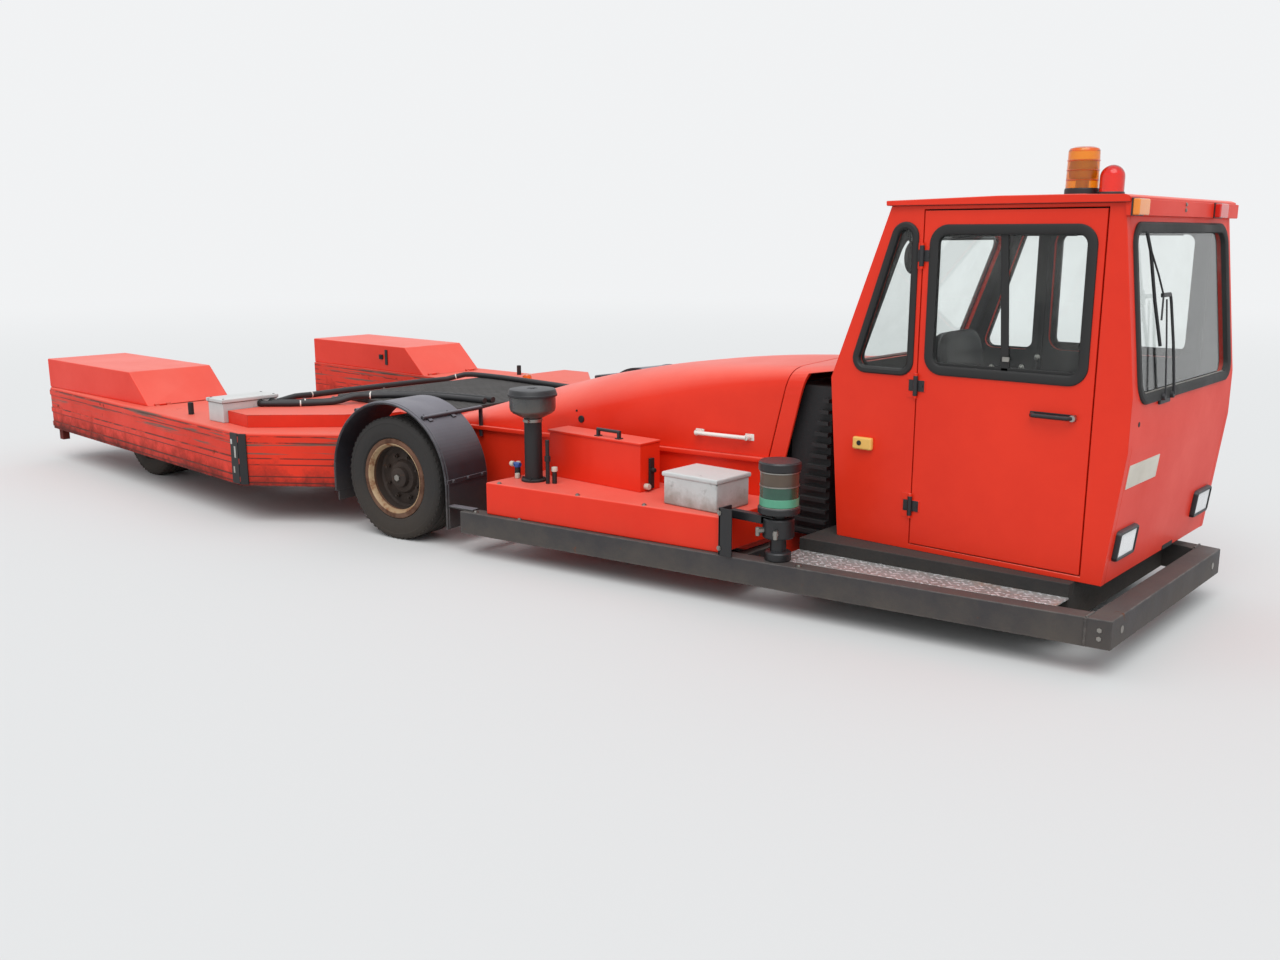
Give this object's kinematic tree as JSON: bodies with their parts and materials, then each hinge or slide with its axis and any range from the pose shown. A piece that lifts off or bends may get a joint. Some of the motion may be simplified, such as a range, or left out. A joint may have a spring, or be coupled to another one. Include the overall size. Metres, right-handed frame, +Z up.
{
  "type": "towbarless aircraft pushback tractor",
  "caption": "low fork ended tractor that takes an aircraft's nose wheels between its arms and pushes the aircraft, with an offset cab at the other end",
  "frame": {"origin": "on the ground under the centre of the whole tractor's bounding box", "axes": "+X forward, towards the cab and bumper; +Y to the tractor's left; +Z up"},
  "size_m": [7.89, 3.282, 2.084],
  "materials": {
    "red_paint": "orange red gloss paint, faded and scraped",
    "frame_black": "black chassis paint, dusty",
    "black_plastic": "moulded black plastic",
    "tread_aluminium": "worn tread plate",
    "grey_plastic": "light grey plastic box",
    "dark_steel": "greasy dark steel",
    "tyre_rubber": "dusty tyre rubber",
    "rim_steel": "dull brown painted rim",
    "clear_glass": "clear safety glass",
    "seat_fabric": "black seat cloth",
    "wheel_plastic": "black moulded plastic",
    "lamp_glass": "clear lamp glass over a bright reflector",
    "amber_plastic": "clear amber plastic",
    "red_plastic": "clear red plastic"
  },
  "bodies": {
    "chassis": {"rail_right": "frame_black", "rail_left": "frame_black", "bumper": "frame_black", "cab_base": "black_plastic", "step_plate": "tread_aluminium", "bay_walls": "red_paint", "engine": "dark_steel", "scuttle": "red_paint", "louvres": "frame_black", "side_box_right": "red_paint", "side_box_left": "red_paint", "precleaner": "black_plastic", "battery_box": "red_paint", "tool_box": "grey_plastic", "fuel_filter": "dark_steel", "centre_body": "red_paint", "deck_plate": "frame_black", "deck_hoses": "black_plastic", "steer_axle": "dark_steel", "fender_right": "black_plastic", "fender_left": "black_plastic", "arm_right": "red_paint", "arm_left": "red_paint", "motor_right": "dark_steel", "motor_left": "dark_steel", "junction_box": "grey_plastic", "cab_front": "red_paint", "cab_rear": "red_paint", "cab_side_right": "red_paint", "cab_side_left": "red_paint", "cab_roof": "red_paint", "cab_panes": "clear_glass", "seat": "seat_fabric", "dash": "black_plastic", "headlamps": "lamp_glass", "amber_lamps": "amber_plastic", "red_lamps": "red_plastic"},
    "steer_right": {"knuckle_right": "dark_steel"},
    "steer_left": {"knuckle_left": "dark_steel"},
    "wheel_front_right": {"tyre_front_right": "tyre_rubber", "rim_front_right": "rim_steel"},
    "wheel_front_left": {"tyre_front_left": "tyre_rubber", "rim_front_left": "rim_steel"},
    "rear_right": {"wheel_rear_right": "tyre_rubber"},
    "rear_left": {"wheel_rear_left": "tyre_rubber"},
    "hood_body": {"hood": "red_paint"},
    "battery_cover": {"battery_lid": "red_paint"},
    "right_cover": {"cover_right": "red_paint"},
    "left_cover": {"cover_left": "red_paint"},
    "right_door": {"door_right": "red_paint", "door_pane_right": "clear_glass"},
    "left_door": {"door_left": "red_paint", "door_pane_left": "clear_glass"},
    "steering_wheel": {"hand_wheel": "wheel_plastic"},
    "lift_cradle": {"cradle": "dark_steel"},
    "right_gate": {"gate_right": "dark_steel"},
    "left_gate": {"gate_left": "dark_steel"}
  },
  "joints": [
    {"name": "steer_right_joint", "type": "hinge", "parent": "chassis", "child": "steer_right", "pos_m": [0.04, -1.02, 0.355], "axis": [0, 0, 1], "range_deg": [-28.5, 11.5]},
    {"name": "steer_left_joint", "type": "hinge", "parent": "chassis", "child": "steer_left", "pos_m": [0.04, 1.02, 0.355], "axis": [0, 0, 1], "range_deg": [-28.5, 11.5]},
    {"name": "spin_front_right", "type": "hinge", "parent": "steer_right", "child": "wheel_front_right", "pos_m": [0.05582, -1.12583, 0.355], "axis": [-0.1478, 0.989, 0], "continuous": true},
    {"name": "spin_front_left", "type": "hinge", "parent": "steer_left", "child": "wheel_front_left", "pos_m": [0.02418, 1.12583, 0.355], "axis": [-0.1478, 0.989, 0], "continuous": true},
    {"name": "spin_rear_right", "type": "hinge", "parent": "chassis", "child": "rear_right", "pos_m": [-2.76, -1.19, 0.355], "axis": [0, 1, 0], "continuous": true},
    {"name": "spin_rear_left", "type": "hinge", "parent": "chassis", "child": "rear_left", "pos_m": [-2.76, 1.19, 0.355], "axis": [0, 1, 0], "continuous": true},
    {"name": "hood_hinge", "type": "hinge", "parent": "chassis", "child": "hood_body", "pos_m": [-0.0595, 0, 0.628], "axis": [0, -1, 0], "range_deg": [0, 50]},
    {"name": "battery_lid_hinge", "type": "hinge", "parent": "chassis", "child": "battery_cover", "pos_m": [1.231, -0.6355, 0.665], "axis": [-1, 0, 0], "range_deg": [0, 80]},
    {"name": "cover_right_hinge", "type": "hinge", "parent": "chassis", "child": "right_cover", "pos_m": [-2.3385, -1.184, 0.569], "axis": [0, 1, 0], "range_deg": [0, 60]},
    {"name": "cover_left_hinge", "type": "hinge", "parent": "chassis", "child": "left_cover", "pos_m": [-2.3385, 1.184, 0.569], "axis": [0, 1, 0], "range_deg": [0, 60]},
    {"name": "door_right_hinge", "type": "hinge", "parent": "chassis", "child": "right_door", "pos_m": [2.927, -0.4885, 1.06], "axis": [0, 0, -1], "range_deg": [0, 80]},
    {"name": "door_left_hinge", "type": "hinge", "parent": "chassis", "child": "left_door", "pos_m": [2.927, 0.9005, 1.06], "axis": [0, 0, 1], "range_deg": [0, 80]},
    {"name": "hand_wheel_spin", "type": "hinge", "parent": "chassis", "child": "steering_wheel", "pos_m": [3.39181, 0.206, 1.04421], "axis": [-0.5736, 0, 0.8192], "continuous": true},
    {"name": "cradle_lift", "type": "hinge", "parent": "chassis", "child": "lift_cradle", "pos_m": [-1.57, 0, 0.298], "axis": [0, 1, 0], "range_deg": [0, 8]},
    {"name": "gate_right_swing", "type": "hinge", "parent": "lift_cradle", "child": "right_gate", "pos_m": [-2.9, -0.76, 0.185], "axis": [0, 0, 1], "range_deg": [0, 90]},
    {"name": "gate_left_swing", "type": "hinge", "parent": "lift_cradle", "child": "left_gate", "pos_m": [-2.9, 0.76, 0.185], "axis": [0, 0, -1], "range_deg": [0, 90]}
  ],
  "couplings": [
    {"joint": "steer_left_joint", "follows": "steer_right_joint", "ratio": 1}
  ]
}
